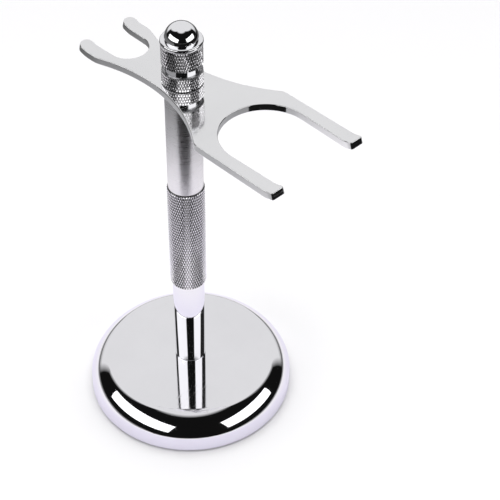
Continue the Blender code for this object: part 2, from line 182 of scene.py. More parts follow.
def raise_rings(rings, facets, start="flat", end="flat"):
    """Turn up a round piece: a circle is extruded and resized from ring to ring.

    An end is flat (closed by a face), pointed (drawn together) or open.
    """
    first_radius, first_z = rings[0]
    bpy.ops.mesh.primitive_circle_add(
        vertices=facets, radius=first_radius, location=(0, 0, first_z),
        fill_type="NGON" if start == "flat" else "NOTHING",
    )
    bpy.ops.object.mode_set(mode="EDIT")
    bpy.ops.mesh.select_all(action="SELECT")
    for (radius, z), (next_radius, next_z) in zip(rings, rings[1:]):
        bpy.ops.mesh.extrude_region_move(TRANSFORM_OT_translate={"value": (0, 0, next_z - z)})
        ratio = next_radius / radius
        bpy.ops.transform.resize(value=(ratio, ratio, 1), center_override=(0, 0, next_z))
    if end == "pointed":
        bpy.ops.mesh.merge(type="CENTER")
    elif end == "flat" and start != "flat":
        bpy.ops.mesh.edge_face_add()


def single_corner(place):
    """Start a piece as one corner, from which a wire is extruded."""
    bpy.ops.mesh.primitive_plane_add(size=MM, location=(0, 0, 0))
    bpy.ops.object.mode_set(mode="EDIT")
    bpy.context.tool_settings.mesh_select_mode = (True, False, False)
    bpy.ops.mesh.select_all(action="SELECT")
    bpy.ops.mesh.merge(type="CENTER")
    bpy.ops.transform.translate(value=place)


def close_up():
    """Merge doubled corners and turn every face outwards."""
    bpy.ops.mesh.select_all(action="SELECT")
    bpy.ops.mesh.remove_doubles(threshold=WELD)
    bpy.ops.mesh.normals_make_consistent(inside=False)


def apply_all(piece):
    """Apply the piece's modifiers in order."""
    for step in list(piece.modifiers):
        bpy.ops.object.modifier_apply(modifier=step.name)


def finished(name, body, finish, nodes=(), smooth=SMOOTH_ANGLE):
    """Name the piece just modelled, give it its finish and hang it on its body."""
    bpy.ops.object.mode_set(mode="OBJECT")
    piece = bpy.context.active_object
    bpy.ops.object.transform_apply(location=True, rotation=True, scale=True)
    if smooth:
        bpy.ops.object.shade_smooth_by_angle(angle=smooth)
    piece.name = name
    piece.data.name = name
    piece.data.materials.clear()
    piece.data.materials.append(finish)
    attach(piece, body)
    if nodes:
        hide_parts(*nodes)
    return piece


# ================================================================= materials
def new_group(name, inputs, outputs):
    """Start a node group with named number inputs (with defaults) and outputs."""
    group = bpy.data.node_groups.new(name, "ShaderNodeTree")
    for label, default in inputs:
        socket = group.interface.new_socket(label, in_out="INPUT", socket_type="NodeSocketFloat")
        socket.default_value = default
    for label in outputs:
        group.interface.new_socket(label, in_out="OUTPUT", socket_type="NodeSocketFloat")
    entry = group.nodes.new("NodeGroupInput")
    way_out = group.nodes.new("NodeGroupOutput")
    return group, entry, way_out


def add_node(tree, kind, **settings):
    """A new node of a kind, with its settings."""
    node = tree.nodes.new(kind)
    for key, value in settings.items():
        setattr(node, key, value)
    return node


def feed(tree, value, socket):
    """Give an input its value: another node's socket, or a constant."""
    if isinstance(value, bpy.types.NodeSocket):
        tree.links.new(value, socket)
    else:
        socket.default_value = value


def reckon(tree, operation, first, second=None, clamp=False):
    """A Math node; each input is a socket or a number."""
    node = add_node(tree, "ShaderNodeMath", operation=operation, use_clamp=clamp)
    feed(tree, first, node.inputs[0])
    if second is not None:
        feed(tree, second, node.inputs[1])
    return node.outputs[0]


def ranged(tree, value, low, high, to_low, to_high):
    """A Map Range node, clamped; the ends may be sockets or numbers."""
    node = add_node(tree, "ShaderNodeMapRange", clamp=True)
    for label, item in (("Value", value), ("From Min", low), ("From Max", high),
                        ("To Min", to_low), ("To Max", to_high)):
        feed(tree, item, node.inputs[label])
    return node.outputs["Result"]


def stretched(tree, scale, turn=(0, 0, 0)):
    """Object coordinates through a Mapping node."""
    coords = add_node(tree, "ShaderNodeTexCoord")
    mapping = add_node(tree, "ShaderNodeMapping")
    mapping.inputs["Scale"].default_value = scale
    mapping.inputs["Rotation"].default_value = turn
    tree.links.new(coords.outputs["Object"], mapping.inputs["Vector"])
    return mapping.outputs["Vector"]


def noise(tree, vector, scale, detail=3.0, roughness=0.5):
    """A Noise Texture node's value, from 0 to 1."""
    node = add_node(tree, "ShaderNodeTexNoise")
    tree.links.new(vector, node.inputs["Vector"])
    feed(tree, scale, node.inputs["Scale"])
    node.inputs["Detail"].default_value = detail
    node.inputs["Roughness"].default_value = roughness
    return node.outputs["Fac"]


def handling_marks_group():
    """Hairline scratches from wiping, in three directions, and soft smears."""
    group, entry, way_out = new_group(
        "handling_marks",
        (("Scratch Scale", 900.0), ("Smear Scale", 45.0)),
        ("Scratches", "Smears"),
    )
    lines = []
    for turn, stretch in ((0.35, (1, 0.035, 1)), (1.45, (1, 0.05, 1)), (2.6, (1, 0.03, 1))):
        vector = stretched(group, stretch, (0.2, 0.15, turn))
        streak = noise(group, vector, entry.outputs["Scratch Scale"], 2.0)
        lines.append(ranged(group, streak, 0.66, 0.72, 0.0, 1.0))
    both = reckon(group, "MAXIMUM", lines[0], lines[1])
    scratches = reckon(group, "MAXIMUM", both, lines[2])
    smears = noise(group, stretched(group, (1, 1, 1)), entry.outputs["Smear Scale"], 4.0, 0.6)
    group.links.new(scratches, way_out.inputs["Scratches"])
    group.links.new(smears, way_out.inputs["Smears"])
    return group


def worn_edges_group():
    """How far an edge is worn: outer corners, broken up by a fine noise."""
    group, entry, way_out = new_group("worn_edges", (("Reach", 0.53),), ("Wear",))
    shape = add_node(group, "ShaderNodeNewGeometry")
    breakup = noise(group, stretched(group, (1, 1, 1)), 700.0, 3.0)
    corner = ranged(group, shape.outputs["Pointiness"], entry.outputs["Reach"], 0.62, 0.0, 1.0)
    broken = ranged(group, breakup, 0.35, 0.6, 0.2, 1.0)
    wear = reckon(group, "MULTIPLY", corner, broken, clamp=True)
    group.links.new(wear, way_out.inputs["Wear"])
    return group


def turning_marks_group():
    """Fine rings left by the lathe or the polishing wheel: bands across the axis."""
    group, entry, way_out = new_group(
        "turning_marks", (("Ring Scale", 3000.0), ("Run Out", 0.02)), ("Rings",),
    )
    coords = add_node(group, "ShaderNodeTexCoord")
    split = add_node(group, "ShaderNodeSeparateXYZ")
    group.links.new(coords.outputs["Object"], split.inputs["Vector"])
    joined = add_node(group, "ShaderNodeCombineXYZ")
    for axis in "XY":
        turned = reckon(group, "MULTIPLY", split.outputs[axis], entry.outputs["Run Out"])
        group.links.new(turned, joined.inputs[axis])
    group.links.new(split.outputs["Z"], joined.inputs["Z"])
    rings = noise(group, joined.outputs["Vector"], entry.outputs["Ring Scale"], 2.0)
    group.links.new(rings, way_out.inputs["Rings"])
    return group


def grain_group():
    """Lumpy grain of a raw casting, foam sheet or moulded face."""
    group, entry, way_out = new_group("grain", (("Grain Scale", 900.0), ("Lump Scale", 160.0)),
                                      ("Grain", "Lumps"))
    vector = stretched(group, (1, 1, 1))
    fine = noise(group, vector, entry.outputs["Grain Scale"], 3.0, 0.6)
    broad = noise(group, vector, entry.outputs["Lump Scale"], 2.0)
    group.links.new(fine, way_out.inputs["Grain"])
    group.links.new(broad, way_out.inputs["Lumps"])
    return group


HANDLING_MARKS = handling_marks_group()
WORN_EDGES = worn_edges_group()
TURNING_MARKS = turning_marks_group()
GRAIN = grain_group()


def place_group(tree, group, **values):
    """Put a group in a material; underscores in the value names stand for spaces."""
    node = add_node(tree, "ShaderNodeGroup", node_tree=group)
    for key, value in values.items():
        node.inputs[key.replace("_", " ")].default_value = value
    return node


def new_material(name, metallic, **constants):
    """A Principled material; returns it with its tree and shader."""
    made = bpy.data.materials.new(name)
    made.use_nodes = True
    tree = made.node_tree
    shader = tree.nodes["Principled BSDF"]
    shader.inputs["Metallic"].default_value = metallic
    for key, value in constants.items():
        shader.inputs[key.replace("_", " ")].default_value = value
    return made, tree, shader


def blend_colours(tree, factor, first, second):
    """Mix two colours by a mask; the first may be a socket."""
    node = add_node(tree, "ShaderNodeMix", data_type="RGBA")
    tree.links.new(factor, node.inputs["Factor"])
    for socket, value in ((node.inputs["A"], first), (node.inputs["B"], second)):
        if isinstance(value, bpy.types.NodeSocket):
            tree.links.new(value, socket)
        else:
            socket.default_value = (*value, 1.0)
    return node.outputs["Result"]


def bump(tree, shader, height, distance, strength=1.0):
    """Feed a height through a Bump node into the shader's normal."""
    node = add_node(tree, "ShaderNodeBump")
    node.inputs["Distance"].default_value = distance
    node.inputs["Strength"].default_value = strength
    tree.links.new(height, node.inputs["Height"])
    tree.links.new(node.outputs["Normal"], shader.inputs["Normal"])


def chrome(name, bright, dull, roughness, marks, bump_depth, scratch_scale=900.0):
    """Plated chrome: smears dull it a little, and scratches and worn edges catch light."""
    made, tree, shader = new_material(name, 1.0)
    handling = place_group(tree, HANDLING_MARKS, Scratch_Scale=scratch_scale)
    edges = place_group(tree, WORN_EDGES)
    smears = ranged(tree, handling.outputs["Smears"], 0.35, 0.7, 0.0, 1.0)
    tone = blend_colours(tree, smears, bright, dull)
    tone = blend_colours(tree, edges.outputs["Wear"], tone, tuple(0.5 * c + 0.48 for c in bright))
    tree.links.new(tone, shader.inputs["Base Color"])
    smeared = ranged(tree, handling.outputs["Smears"], 0.35, 0.7, roughness, roughness + marks)
    scratched = reckon(tree, "MULTIPLY", handling.outputs["Scratches"], marks * 1.5)
    worn = reckon(tree, "MULTIPLY", edges.outputs["Wear"], marks)
    rough = reckon(tree, "ADD", reckon(tree, "ADD", smeared, scratched), worn, clamp=True)
    tree.links.new(rough, shader.inputs["Roughness"])
    height = reckon(tree, "MULTIPLY", handling.outputs["Scratches"], -1.0)
    bump(tree, shader, height, bump_depth, 0.3)
    return made


def satin_chrome_finish(name):
    """Satin chrome: fine rings round the post spread the light, with a soft sheen."""
    made, tree, shader = new_material(name, 1.0)
    rings = place_group(tree, TURNING_MARKS, Ring_Scale=5200.0, Run_Out=0.03)
    handling = place_group(tree, HANDLING_MARKS, Scratch_Scale=700.0, Smear_Scale=60.0)
    edges = place_group(tree, WORN_EDGES)
    tone = blend_colours(tree, ranged(tree, rings.outputs["Rings"], 0.3, 0.7, 0.0, 1.0),
                         (0.80, 0.79, 0.81), (0.86, 0.85, 0.87))
    tone = blend_colours(tree, edges.outputs["Wear"], tone, (0.90, 0.90, 0.91))
    tree.links.new(tone, shader.inputs["Base Color"])
    ringed = ranged(tree, rings.outputs["Rings"], 0.3, 0.7, 0.24, 0.32)
    smeared = reckon(tree, "MULTIPLY", handling.outputs["Smears"], 0.05)
    tree.links.new(reckon(tree, "ADD", ringed, smeared), shader.inputs["Roughness"])
    bump(tree, shader, rings.outputs["Rings"], 0.004 * MM, 0.5)
    return made


def knurled_chrome_finish(name):
    """Chrome over knurling: bright diamonds, with the cuts darkened by their depth: painted shade,
    and a little grey residue left in them.
    """
    made, tree, shader = new_material(name, 1.0)
    edges = place_group(tree, WORN_EDGES)
    grain = place_group(tree, GRAIN, Grain_Scale=2400.0, Lump_Scale=260.0)
    depth = add_node(tree, "ShaderNodeAttribute", attribute_name="cut")
    cut_shade_and_residue = ranged(tree, depth.outputs["Fac"], 0.60, 1.0, 0.0, 1.0)
    tone = blend_colours(tree, ranged(tree, grain.outputs["Lumps"], 0.35, 0.65, 0.0, 1.0),
                         (0.95, 0.94, 0.96), (0.90, 0.89, 0.91))
    # painted shade and grey residue: the colour darkens towards the bottom of the cuts
    tone = blend_colours(tree, cut_shade_and_residue, tone, (0.06, 0.06, 0.065))
    tone = blend_colours(tree, edges.outputs["Wear"], tone, (0.93, 0.93, 0.94))
    tree.links.new(tone, shader.inputs["Base Color"])
    rough = ranged(tree, grain.outputs["Grain"], 0.3, 0.7, 0.05, 0.13)
    rough = reckon(tree, "ADD", rough, reckon(tree, "MULTIPLY", cut_shade_and_residue, 0.3), clamp=True)
    tree.links.new(rough, shader.inputs["Roughness"])
    bump(tree, shader, grain.outputs["Grain"], 0.01 * MM, 0.4)
    return made


def grained(name, metallic, first, second, rough_low, rough_high, depth,
            grain_scale, lump_scale):
    """A finish led by its grain: zinc plating, casting, nylon or foam."""
    made, tree, shader = new_material(name, metallic)
    grain = place_group(tree, GRAIN, Grain_Scale=grain_scale, Lump_Scale=lump_scale)
    edges = place_group(tree, WORN_EDGES)
    lumps = ranged(tree, grain.outputs["Lumps"], 0.35, 0.65, 0.0, 1.0)
    tone = blend_colours(tree, lumps, first, second)
    lighter = tuple(min(1.0, 1.15 * c + 0.03) for c in second)
    tone = blend_colours(tree, edges.outputs["Wear"], tone, lighter)
    tree.links.new(tone, shader.inputs["Base Color"])
    rough = ranged(tree, grain.outputs["Grain"], 0.3, 0.7, rough_low, rough_high)
    tree.links.new(rough, shader.inputs["Roughness"])
    bump(tree, shader, grain.outputs["Grain"], depth)
    return made


BASE_CHROME = chrome("base_chrome", (0.86, 0.855, 0.88), (0.83, 0.825, 0.85), 0.025, 0.03,
                     0.004 * MM)
POST_CHROME = chrome("post_chrome", (0.88, 0.875, 0.90), (0.85, 0.845, 0.87), 0.03, 0.03,
                     0.004 * MM)
PLATE_CHROME = chrome("plate_chrome", (0.86, 0.86, 0.87), (0.83, 0.83, 0.84), 0.05, 0.05,
                      0.006 * MM, 1100.0)
KNOB_CHROME = chrome("knob_chrome", (0.88, 0.88, 0.90), (0.85, 0.85, 0.87), 0.03, 0.03,
                     0.003 * MM, 1500.0)
SATIN_CHROME = satin_chrome_finish("satin_chrome")
KNURLED_CHROME = knurled_chrome_finish("knurled_chrome")
ZINC_STEEL = grained("zinc_plated_steel", 1.0, (0.62, 0.63, 0.64), (0.52, 0.53, 0.55), 0.26, 0.42,
                     0.01 * MM, 1800.0, 300.0)
CAST_WEIGHT = grained("raw_casting", 0.6, (0.10, 0.10, 0.10), (0.16, 0.15, 0.14), 0.6, 0.85,
                      0.12 * MM, 900.0, 140.0)
WHITE_NYLON = grained("white_nylon", 0.0, (0.85, 0.85, 0.83), (0.80, 0.80, 0.77), 0.40, 0.55,
                      0.01 * MM, 1500.0, 220.0)
FOAM_RUBBER = grained("foam_rubber", 0.0, (0.025, 0.025, 0.027), (0.045, 0.045, 0.048), 0.75, 0.95,
                      0.10 * MM, 1400.0, 200.0)


# ====================================================================== base
def make_base_shell():
    """Pressed cover: flat top, shoulder in three bends, short side, thin wall."""
    start_new()
    step_in = SHOULDER_RADIUS - SIDE_BLEND_RADIUS
    step_out = SHOULDER_RADIUS - TOP_BLEND_RADIUS
    side_r = BASE_RADIUS - SIDE_BLEND_RADIUS
    shoulder_r = side_r - step_in * cos(SIDE_BLEND_START)
    top_r = shoulder_r + step_out * cos(TOP_BLEND_END)
    top_z = BASE_TOP_Z - TOP_BLEND_RADIUS
    shoulder_z = top_z - step_out * sin(TOP_BLEND_END)
    side_z = shoulder_z + step_in * sin(SIDE_BLEND_START)

    def shell_side(inset):
        top = arc(top_r, top_z, TOP_BLEND_RADIUS - inset,
                  pi / 2, TOP_BLEND_END, TOP_BLEND_STEPS)
        middle = arc(shoulder_r, shoulder_z, SHOULDER_RADIUS - inset,
                     TOP_BLEND_END, SIDE_BLEND_START, SHOULDER_STEPS)
        side = arc(side_r, side_z, SIDE_BLEND_RADIUS - inset,
                   SIDE_BLEND_START, 0, SIDE_BLEND_STEPS)
        return top + middle[1:] + side[1:]

    rings = [(COVER_HOLE, BASE_TOP_Z), (LOWER_POST_RADIUS, BASE_TOP_Z)]
    rings += [(top_r - 2 * MM, BASE_TOP_Z), (top_r - 0.3 * MM, BASE_TOP_Z)]
    rings += shell_side(0)
    rings += [(BASE_RADIUS, BASE_Z + RIM_CHAMFER)]
    rings += [(BASE_RADIUS - 0.4 * RIM_CHAMFER, BASE_Z + 0.1 * MM)]
    rings += [(BASE_RADIUS - RIM_CHAMFER, BASE_Z), (BASE_RADIUS - COVER_WALL, BASE_Z)]
    rings += shell_side(COVER_WALL)[::-1]
    rings += [(COVER_HOLE, BASE_TOP_Z - COVER_WALL), (COVER_HOLE, BASE_TOP_Z)]
    raise_rings(rings, FINE_FACETS, "open", "open")
    close_up()
    finished("base_shell", "stand", BASE_CHROME, ("base_cover",))


def make_foot_disc():
    """Non-slip sheet under the base, with a softly cut edge."""
    start_new()
    soft = 0.25 * MM
    rings = [(PAD_RADIUS - soft, 0.0), (PAD_RADIUS - 0.3 * soft, 0.3 * soft), (PAD_RADIUS, soft)]
    rings += [(PAD_RADIUS, PAD_TOP_Z - soft), (PAD_RADIUS - soft, PAD_TOP_Z)]
    raise_rings(rings, FINE_FACETS)
    close_up()
    finished("foot_disc", "stand", FOAM_RUBBER, ("foot_pad",))


# ====================================================================== post
def make_post_bar(name, node, radius, low, high, finish):
    """Plain turned bar with rounded-off ends."""
    start_new()
    rings = arc(radius - POST_CHAMFER, low + POST_CHAMFER, POST_CHAMFER,
                -pi / 2, 0, EDGE_STEPS)
    rings += arc(radius - POST_CHAMFER, high - POST_CHAMFER, POST_CHAMFER,
                 0, pi / 2, EDGE_STEPS)
    raise_rings(rings, POST_FACETS)
    close_up()
    finished(name, "stand", finish, (node,))


def knurl_between(low, high, crest_radius):
    """Cut diamond knurling into the selected rings: every other corner of each ring
    goes in to the bottom of a cut, and the points left standing are blunted."""
    count = round(2 * pi * crest_radius / KNURL_WIDTH)
    rows = 2 * round((high - low) / KNURL_HEIGHT)
    step = (high - low) / rows

    def is_cut(place):
        along = (place.z - low) / step
        row = round(along)
        if row < 0 or row > rows or abs(along - row) > 0.1:
            return False
        if hypot(place.x, place.y) < crest_radius - 0.2 * KNURL_DEPTH:
            return False
        around = round(atan2(place.x, place.y) / (pi / count))
        return (around + row) % 2 == 1

    keep_only(is_cut)
    shrink = (crest_radius - KNURL_DEPTH) / crest_radius
    bpy.ops.transform.resize(value=(shrink, shrink, 1), center_override=(0, 0, low))
    keep_only(lambda place: low - WELD < place.z < high + WELD
              and hypot(place.x, place.y) > crest_radius - 1.1 * KNURL_DEPTH)
    bpy.ops.mesh.quads_convert_to_tris(quad_method="SHORTEST_DIAGONAL", ngon_method="BEAUTY")
    keep_only(lambda place: low + 0.5 * step < place.z < high - 0.5 * step
              and hypot(place.x, place.y) > crest_radius - 0.1 * KNURL_DEPTH)
    bpy.ops.mesh.bevel(affect="VERTICES", offset=KNURL_FLAT, segments=1)


def knurl_rings(low, high, crest_radius):
    """Rings on which the knurling stands, half a diamond apart."""
    rows = 2 * round((high - low) / KNURL_HEIGHT)
    return [(crest_radius, low + (high - low) * i / rows) for i in range(rows + 1)]


def knurl_facets(crest_radius):
    """Corners in each ring of the knurling, two to a diamond."""
    return 2 * round(2 * pi * crest_radius / KNURL_WIDTH)


def mark_cuts(piece, crest_radius):
    """Note on every corner how far below the knurling's crests it lies, from 0 to 1; the knurled
    finish paints shade and residue in the cuts by it.
    """
    depth = piece.data.attributes.new("cut", "FLOAT", "POINT")
    for corner in piece.data.vertices:
        sunk = (crest_radius - hypot(corner.co.x, corner.co.y)) / KNURL_DEPTH
        depth.data[corner.index].value = min(max(sunk, 0.0), 1.0)


def make_grip():
    """Knurled middle section with a turned chamfer at each end."""
    start_new()
    low = GRIP_Z + GRIP_CHAMFER
    high = GRIP_TOP_Z - GRIP_CHAMFER
    root = GRIP_RADIUS - KNURL_DEPTH
    rings = [(GRIP_RADIUS - GRIP_CHAMFER, GRIP_Z), (root, low - 0.5 * GRIP_CHAMFER)]
    rings += knurl_rings(low, high, GRIP_RADIUS)
    rings += [(root, high + 0.5 * GRIP_CHAMFER), (GRIP_RADIUS - GRIP_CHAMFER, GRIP_TOP_Z)]
    raise_rings(rings, knurl_facets(GRIP_RADIUS))
    knurl_between(low, high, GRIP_RADIUS)
    close_up()
    grip = finished("grip", "stand", KNURLED_CHROME, ("knurled_grip",),
                    KNURL_SMOOTH_ANGLE)
    mark_cuts(grip, GRIP_RADIUS)


# ============================================================== holder plate
class Outline:
    """A wire drawn corner by corner in edit mode, by extruding and spinning."""

    def __init__(self, start):
        self.at = start
        single_corner((*start, 0))

    def line_to(self, x, y):
        """Extrude a straight edge to a place."""
        step = (x - self.at[0], y - self.at[1], 0)
        if hypot(step[0], step[1]) > WELD:
            bpy.ops.mesh.extrude_region_move(TRANSFORM_OT_translate={"value": step})
        self.at = (x, y)

    def swing(self, centre, angle, steps):
        """Follow an arc round a centre; a positive angle is anticlockwise."""
        bpy.ops.mesh.spin(steps=steps, angle=-angle, center=(*centre, 0), axis=(0, 0, 1))
        arm = Vector((self.at[0] - centre[0], self.at[1] - centre[1]))
        arm.rotate(Matrix.Rotation(angle, 2))
        self.at = (centre[0] + arm.x, centre[1] + arm.y)


def blend_centre(edge_y, blend, side):
    """Centre of the convex blend between the waist and a fork's outer edge, and
    the angle on the waist's arc at which the two meet."""
    waist_y = WAIST_HALF_WIDTH + WAIST_ARC
    centre_y = edge_y - blend
    reach = WAIST_ARC + blend
    centre_x = WAIST_X + side * (reach ** 2 - (waist_y - centre_y) ** 2) ** 0.5
    return (centre_x, centre_y), atan2(centre_y - waist_y, centre_x - WAIST_X)


def draw_half_plate():
    """Edge of the plate for y >= 0, from the razor throat to the brush throat."""
    razor_outer = RAZOR_GAP / 2 + RAZOR_PRONG_WIDTH
    brush_outer = BRUSH_GAP / 2 + BRUSH_PRONG_WIDTH
    razor_tip = (RAZOR_PRONG_WIDTH / 2 - RAZOR_REACH, (RAZOR_GAP + RAZOR_PRONG_WIDTH) / 2)
    razor_blend, razor_angle = blend_centre(razor_outer, RAZOR_SHOULDER, -1)
    brush_blend, brush_angle = blend_centre(brush_outer, BRUSH_SHOULDER, 1)
    waist = (WAIST_X, WAIST_HALF_WIDTH + WAIST_ARC)

    edge = Outline((RAZOR_THROAT_X + RAZOR_THROAT_RADIUS, 0))
    edge.swing((RAZOR_THROAT_X, 0), pi / 2, RAZOR_ARC_STEPS)
    edge.line_to(razor_tip[0], RAZOR_GAP / 2)
    edge.swing(razor_tip, -pi, RAZOR_ARC_STEPS)
    edge.line_to(razor_blend[0], razor_outer)
    edge.swing(razor_blend, razor_angle + pi / 2, BLEND_ARC_STEPS)
    edge.swing(waist, brush_angle - razor_angle, WAIST_ARC_STEPS)
    edge.swing(brush_blend, -brush_angle - pi / 2, BLEND_ARC_STEPS)
    corner_x = BRUSH_REACH - BRUSH_TIP_CORNER
    corner_y = BRUSH_GAP / 2 + BRUSH_TIP_CORNER
    edge.line_to(corner_x, brush_outer)
    edge.swing((corner_x, brush_outer - BRUSH_TIP_CORNER), -pi / 2, CORNER_STEPS)
    edge.line_to(BRUSH_REACH, corner_y)
    edge.swing((corner_x, corner_y), -pi / 2, CORNER_STEPS)
    edge.line_to(BRUSH_THROAT_X, BRUSH_THROAT_RADIUS)
    edge.swing((BRUSH_THROAT_X, 0), pi / 2, BRUSH_ARC_STEPS)


def turn_tips_up(line_x, side):
    """Bend what lies past a line across the plate upwards, a little at a time."""
    for i in range(TIP_BEND_STEPS + 1):
        at = line_x + side * TIP_BEND_LENGTH * i / TIP_BEND_STEPS
        bpy.ops.mesh.select_all(action="SELECT")
        bpy.ops.mesh.bisect(plane_co=(at, 0, 0), plane_no=(1, 0, 0))
    turn = side * TIP_BEND / TIP_BEND_STEPS
    lines = [line_x + side * TIP_BEND_LENGTH * (i + 0.5) / TIP_BEND_STEPS
             for i in range(TIP_BEND_STEPS)]
    for at in reversed(lines):
        keep_only(lambda place: side * (place.x - at) > 0)
        bpy.ops.transform.rotate(value=turn, orient_axis="Y", center_override=(at, 0, 0))


def make_plate():
    """Holder plate: half its outline mirrored, thickened, bent at the tips and drilled."""
    start_new()
    draw_half_plate()
    bpy.ops.object.mode_set(mode="OBJECT")
    plate = bpy.context.active_object
    bpy.ops.object.transform_apply(location=True, rotation=True, scale=True)
    mirror = plate.modifiers.new("other_half", "MIRROR")
    mirror.use_axis = (False, True, False)
    mirror.merge_threshold = 10 * WELD
    apply_all(plate)
    bpy.ops.object.mode_set(mode="EDIT")
    bpy.ops.mesh.select_all(action="SELECT")
    bpy.ops.mesh.remove_doubles(threshold=WELD)
    bpy.ops.mesh.select_all(action="SELECT")
    bpy.ops.mesh.edge_face_add()
    bpy.ops.mesh.extrude_region_move(TRANSFORM_OT_translate={"value": (0, 0, PLATE_THICKNESS)})
    turn_tips_up(RAZOR_TIP_LENGTH - RAZOR_REACH, -1)
    turn_tips_up(BRUSH_REACH - BRUSH_TIP_LENGTH, 1)
    close_up()
    bpy.ops.mesh.select_all(action="SELECT")
    bpy.ops.transform.translate(value=(0, 0, PLATE_Z))
    bpy.ops.object.mode_set(mode="OBJECT")

    start_new()
    drill_low = PLATE_Z - 1 * MM
    drill_high = PLATE_Z + PLATE_THICKNESS + 1 * MM
    raise_rings([(PLATE_HOLE, drill_low), (PLATE_HOLE, drill_high)], HOLE_FACETS)
    close_up()
    bpy.ops.object.mode_set(mode="OBJECT")
    drill = bpy.context.active_object
    bpy.ops.object.transform_apply(location=True, rotation=True, scale=True)
    start_new()
    bpy.context.view_layer.objects.active = plate
    plate.select_set(True)
    hole = plate.modifiers.new("stud_hole", "BOOLEAN")
    hole.operation = "DIFFERENCE"
    hole.solver = "EXACT"
    hole.object = drill
    rounding = plate.modifiers.new("rounded_edges", "BEVEL")
    rounding.width = PLATE_EDGE
    rounding.segments = EDGE_STEPS
    rounding.limit_method = "ANGLE"
    rounding.angle_limit = SHARP_PLATE_EDGE
    rounding.harden_normals = True
    bpy.ops.object.shade_smooth()
    apply_all(plate)
    bpy.data.objects.remove(drill, do_unlink=True)
    finished("plate", "plate", PLATE_CHROME, ("holder_plate",), None)


# ========================================================== washers and knob
def make_washer(name, node, body):
    """Moulded nylon washer with rounded rims."""
    start_new()
    low, high = (corner.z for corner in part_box(node))
    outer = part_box(node)[1].x
    soft = 0.12 * MM
    rings = [(PLATE_HOLE, low)]
    rings += arc(outer - soft, low + soft, soft, -pi / 2, 0, EDGE_STEPS)
    rings += arc(outer - soft, high - soft, soft, 0, pi / 2, EDGE_STEPS)
    rings += [(PLATE_HOLE, high), (PLATE_HOLE, low)]
    raise_rings(rings, WASHER_FACETS, "open", "open")
    close_up()
    finished(name, body, WHITE_NYLON, (node,))


def make_threaded_stud():
    """Top stud with its real M5 thread, seen when the knob is wound up."""
    start_new()
    low, high = (corner.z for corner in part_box("top_stud"))
    root = THREAD_RADIUS - THREAD_DEPTH
    single_corner((root, 0, low - THREAD_PITCH))
    for across, along in ((THREAD_DEPTH, 0.36), (0, 0.14), (-THREAD_DEPTH, 0.36), (0, 0.14)):
        step = (across, 0, along * THREAD_PITCH)
        bpy.ops.mesh.extrude_region_move(TRANSFORM_OT_translate={"value": step})
    bpy.ops.object.mode_set(mode="OBJECT")
    stud = bpy.context.active_object
    winding = stud.modifiers.new("winding", "SCREW")
    winding.axis = "Z"
    winding.angle = 2 * pi
    winding.screw_offset = THREAD_PITCH
    winding.steps = THREAD_FACETS
    winding.render_steps = THREAD_FACETS
    winding.iterations = round((high - low) / THREAD_PITCH) + 3
    winding.use_merge_vertices = True
    winding.merge_threshold = WELD
    apply_all(stud)
    bpy.ops.object.mode_set(mode="EDIT")
    bpy.ops.mesh.select_all(action="SELECT")
    bpy.ops.mesh.remove_doubles(threshold=WELD)
    bpy.ops.mesh.select_all(action="SELECT")
    bpy.ops.mesh.bisect(plane_co=(0, 0, low), plane_no=(0, 0, 1), use_fill=True, clear_inner=True)
    bpy.ops.mesh.select_all(action="SELECT")
    bpy.ops.mesh.bisect(plane_co=(0, 0, high), plane_no=(0, 0, 1), use_fill=True, clear_outer=True)
    close_up()
    finished("threaded_stud", "stand", ZINC_STEEL, ("top_stud",))


def make_knob_core():
    """Domed core of the knob: recess, tapped bore, groove and collar."""
    start_new()
    groove_low = KNOB_Z + LOWER_BAND
    groove_high = groove_low + GROOVE_HEIGHT
    collar_low = groove_high + UPPER_BAND
    collar_high = collar_low + COLLAR_HEIGHT
    underside = KNOB_RADIUS - KNURL_DEPTH - BAND_EDGE
    rings = [(BORE_RADIUS, KNOB_Z + BORE_DEPTH), (BORE_RADIUS, KNOB_Z + RECESS_DEPTH)]
    rings += [(RECESS_RADIUS, KNOB_Z + RECESS_DEPTH), (RECESS_RADIUS, KNOB_Z), (underside, KNOB_Z)]
    rings += [(GROOVE_RADIUS, KNOB_Z + BAND_EDGE), (GROOVE_RADIUS, groove_low)]
    rings += [(GROOVE_RADIUS, groove_high), (GROOVE_RADIUS, collar_low)]
    rings += arc(COLLAR_RADIUS - BAND_EDGE, collar_low + BAND_EDGE, BAND_EDGE,
                 -pi / 2, 0, EDGE_STEPS)
    rings += arc(COLLAR_RADIUS - COLLAR_CHAMFER, collar_high - COLLAR_CHAMFER, COLLAR_CHAMFER,
                 0, pi / 2, COLLAR_STEPS)
    rings += arc(0, collar_high, DOME_RADIUS, 0, DOME_END, DOME_STEPS)
    raise_rings(rings, POST_FACETS, "flat", "pointed")
    close_up()
    finished("knob_core", "clamp_knob", KNOB_CHROME, ("knob",))


def make_knob_band(name, low, height):
    """One knurled band of the knob, let into the core."""
    start_new()
    high = low + height
    root = KNOB_RADIUS - KNURL_DEPTH
    inner = GROOVE_RADIUS - 0.2 * MM
    rings = [(inner, low), (root - BAND_EDGE, low), (root, low + 0.6 * BAND_EDGE)]
    rings += knurl_rings(low + BAND_EDGE, high - BAND_EDGE, KNOB_RADIUS)
    rings += [(root, high - 0.6 * BAND_EDGE), (root - BAND_EDGE, high)]
    rings += [(inner, high), (inner, low)]
    raise_rings(rings, knurl_facets(KNOB_RADIUS), "open", "open")
    knurl_between(low + BAND_EDGE, high - BAND_EDGE, KNOB_RADIUS)
    close_up()
    band = finished(name, "clamp_knob", KNURLED_CHROME, ("knob",),
                    KNURL_SMOOTH_ANGLE)
    mark_cuts(band, KNOB_RADIUS)


